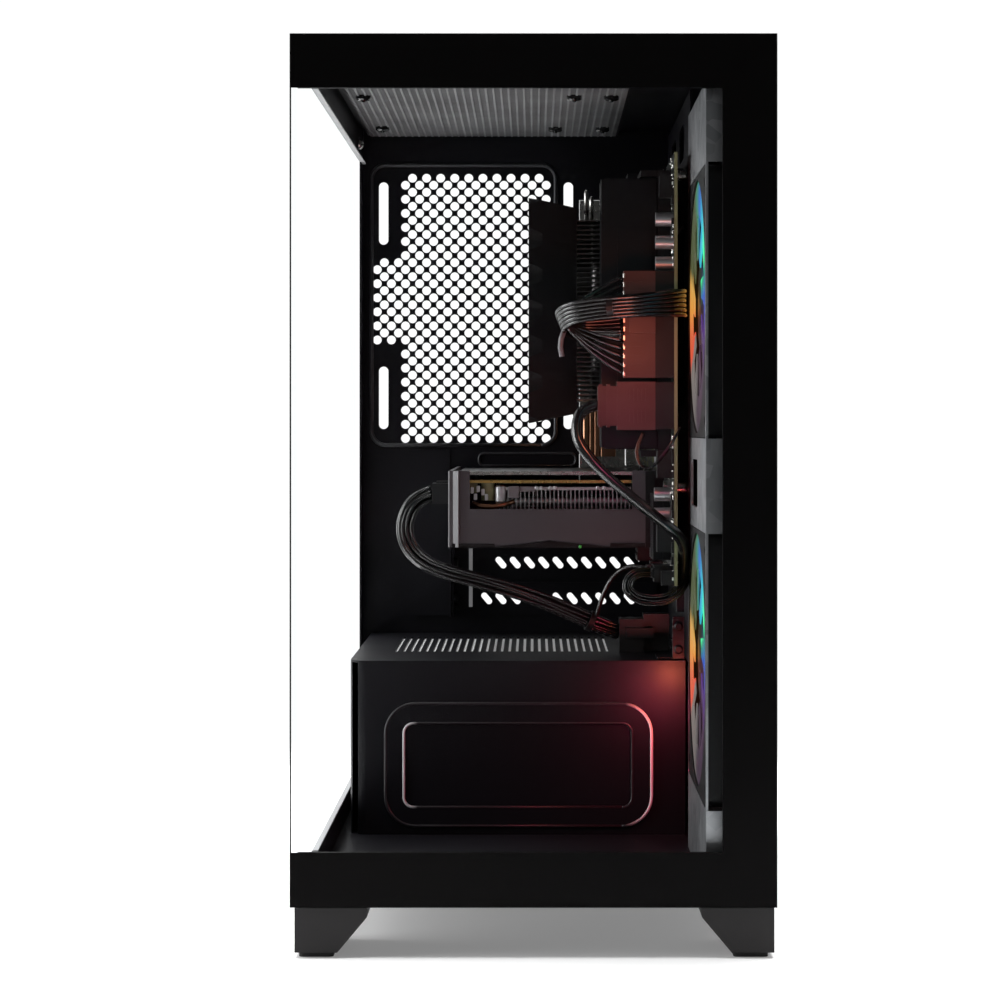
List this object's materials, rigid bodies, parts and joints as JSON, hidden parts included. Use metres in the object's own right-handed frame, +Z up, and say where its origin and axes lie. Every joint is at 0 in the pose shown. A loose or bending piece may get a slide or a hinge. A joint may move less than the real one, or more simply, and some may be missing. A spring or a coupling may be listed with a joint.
{
  "type": "desktop computer tower",
  "caption": "Compact desktop computer tower with a glass front and side, side fans with light rings, cooler, graphics card and shrouded power supply.",
  "frame": {"origin": "on the floor under the middle of the case", "axes": "+Z up, the front glass faces -Y, +X to the right seen from the front"},
  "size_m": [0.21, 0.36, 0.3985],
  "materials": {
    "clear_glass": "polished",
    "black_steel": "satin",
    "zinc_steel": "satin",
    "nickel_steel": "polished",
    "black_plastic": "matte",
    "gloss_black": "gloss",
    "charcoal_plastic": "matte",
    "pad_rubber": "matte",
    "fin_aluminium": "satin",
    "black_aluminium": "satin",
    "board_laminate": "satin",
    "filter_mesh": "matte",
    "cable_sleeve": "satin"
  },
  "bodies": {
    "chassis": {"front_glass": "clear_glass", "front_frame": "gloss_black", "top_panel": "black_steel", "base_pan": "black_steel", "rear_panel": "black_steel", "slot_covers": "black_steel", "motherboard_tray": "black_steel", "psu_shroud": "black_steel", "side_fan_bracket": "zinc_steel", "feet": "charcoal_plastic", "foot_pads": "pad_rubber", "front_ports": "nickel_steel", "motherboard_pcb": "board_laminate", "board_standoffs": "nickel_steel", "cpu_socket": "nickel_steel", "board_heatsinks": "black_aluminium", "dimm_slots": "black_plastic", "ram_modules": "black_aluminium", "pcie_slots": "black_plastic", "m2_ssd": "board_laminate", "rear_io_ports": "nickel_steel", "io_shield": "nickel_steel", "board_power_parts": "fin_aluminium", "board_headers": "black_plastic", "cmos_battery": "nickel_steel", "cooler_heatsink": "fin_aluminium", "cooler_fan_frame": "black_plastic", "gpu_pcb": "board_laminate", "gpu_heatsink": "fin_aluminium", "gpu_shroud": "black_plastic", "gpu_backplate": "black_aluminium", "gpu_bracket": "nickel_steel", "psu_case": "black_steel", "psu_inlet": "black_plastic", "atx_plug": "black_plastic", "usb3_plug": "black_plastic", "gpu_plug": "black_plastic", "inline_plug": "black_plastic", "cable_ties": "black_plastic", "upper_fan_frame": "black_plastic", "lower_fan_frame": "black_plastic", "atx_cable": "cable_sleeve", "usb3_cable": "cable_sleeve", "gpu_power_cable": "cable_sleeve", "front_panel_wires": "cable_sleeve", "fan_cable": "cable_sleeve"},
    "side_glass": {"side_glass": "clear_glass", "glass_studs": "nickel_steel"},
    "right_panel": {"right_side_panel": "black_steel", "panel_thumbscrews": "nickel_steel"},
    "top_filter": {"top_filter": "filter_mesh"},
    "psu_filter": {"psu_filter": "filter_mesh"},
    "power_button": {"power_button": "black_plastic"},
    "reset_button": {"reset_button": "black_plastic"},
    "psu_switch": {"psu_switch": "gloss_black"},
    "upper_rotor": {"upper_rotor": "black_plastic"},
    "lower_rotor": {"lower_rotor": "black_plastic"},
    "cooler_rotor": {"cooler_rotor": "black_plastic"},
    "gpu_rotor": {"gpu_rotor": "black_plastic"},
    "psu_rotor": {"psu_rotor": "black_plastic"}
  },
  "joints": [
    {"name": "side_glass_pull", "type": "slide", "parent": "chassis", "child": "side_glass", "axis": [-1, 0, 0], "range_m": [0, 0.06]},
    {"name": "right_panel_pull", "type": "slide", "parent": "chassis", "child": "right_panel", "axis": [1, 0, 0], "range_m": [0, 0.06]},
    {"name": "top_filter_lift", "type": "slide", "parent": "chassis", "child": "top_filter", "axis": [0, 0, 1], "range_m": [0, 0.03]},
    {"name": "psu_filter_pull", "type": "slide", "parent": "chassis", "child": "psu_filter", "axis": [0, 1, 0], "range_m": [0, 0.14]},
    {"name": "power_button_press", "type": "slide", "parent": "chassis", "child": "power_button", "axis": [0, 0, -1], "range_m": [0, 0.0015], "stiffness_N_per_m": 1500},
    {"name": "reset_button_press", "type": "slide", "parent": "chassis", "child": "reset_button", "axis": [0, 0, -1], "range_m": [0, 0.001], "stiffness_N_per_m": 1500},
    {"name": "psu_switch_rock", "type": "hinge", "parent": "chassis", "child": "psu_switch", "pos_m": [0.048, 0.1658, 0.052], "axis": [0, 0, -1], "range_deg": [0, 16]},
    {"name": "upper_fan_spin", "type": "hinge", "parent": "chassis", "child": "upper_rotor", "pos_m": [0.0867, -0.1, 0.2843], "axis": [1, 0, 0], "continuous": true},
    {"name": "lower_fan_spin", "type": "hinge", "parent": "chassis", "child": "lower_rotor", "pos_m": [0.0867, -0.1, 0.122], "axis": [1, 0, 0], "continuous": true},
    {"name": "cooler_fan_spin", "type": "hinge", "parent": "chassis", "child": "cooler_rotor", "pos_m": [0.0085, 0.066, 0.288], "axis": [1, 0, 0], "continuous": true},
    {"name": "gpu_fan_spin", "type": "hinge", "parent": "chassis", "child": "gpu_rotor", "pos_m": [0.006, 0.096, 0.1746], "axis": [0, 0, 1], "continuous": true},
    {"name": "psu_fan_spin", "type": "hinge", "parent": "chassis", "child": "psu_rotor", "pos_m": [-0.005, 0.098, 0.0357], "axis": [0, 0, 1], "continuous": true}
  ]
}
